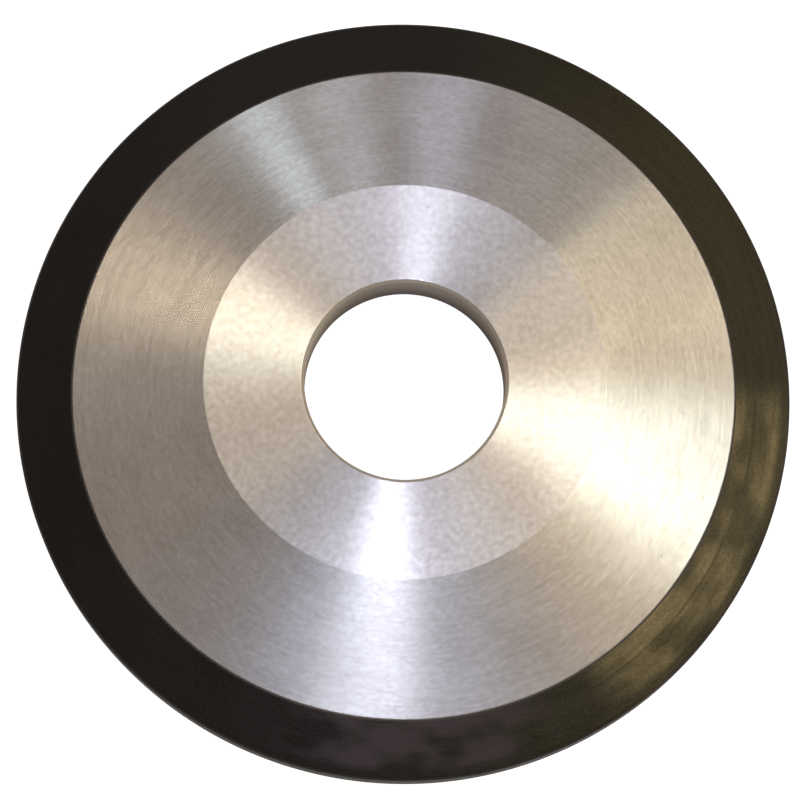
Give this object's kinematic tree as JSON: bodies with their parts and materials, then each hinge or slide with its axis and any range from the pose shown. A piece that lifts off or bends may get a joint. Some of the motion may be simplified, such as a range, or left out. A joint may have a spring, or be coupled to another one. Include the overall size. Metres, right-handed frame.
{
  "type": "diamond grinding wheel",
  "caption": "Dish-shaped diamond grinding wheel: turned aluminium core with a conical back and straight bore, bonded dark resin rim and a flat abrasive ring.",
  "frame": {"origin": "on the wheel's axis, in the plane of the flat abrasive face that it rests on", "axes": "+Z along the spindle axis, from the abrasive face towards the hub's flat back face; X and Y lie in the abrasive face"},
  "size_m": [0.125, 0.125, 0.016],
  "materials": {
    "turned_aluminium": "satin",
    "dark_resin": "satin",
    "diamond_layer": "matte",
    "adhesive": "satin"
  },
  "bodies": {
    "root": {"aluminium_core": "turned_aluminium", "resin_backing_ring": "dark_resin", "diamond_abrasive_ring": "diamond_layer", "rim_adhesive": "adhesive"}
  },
  "joints": []
}
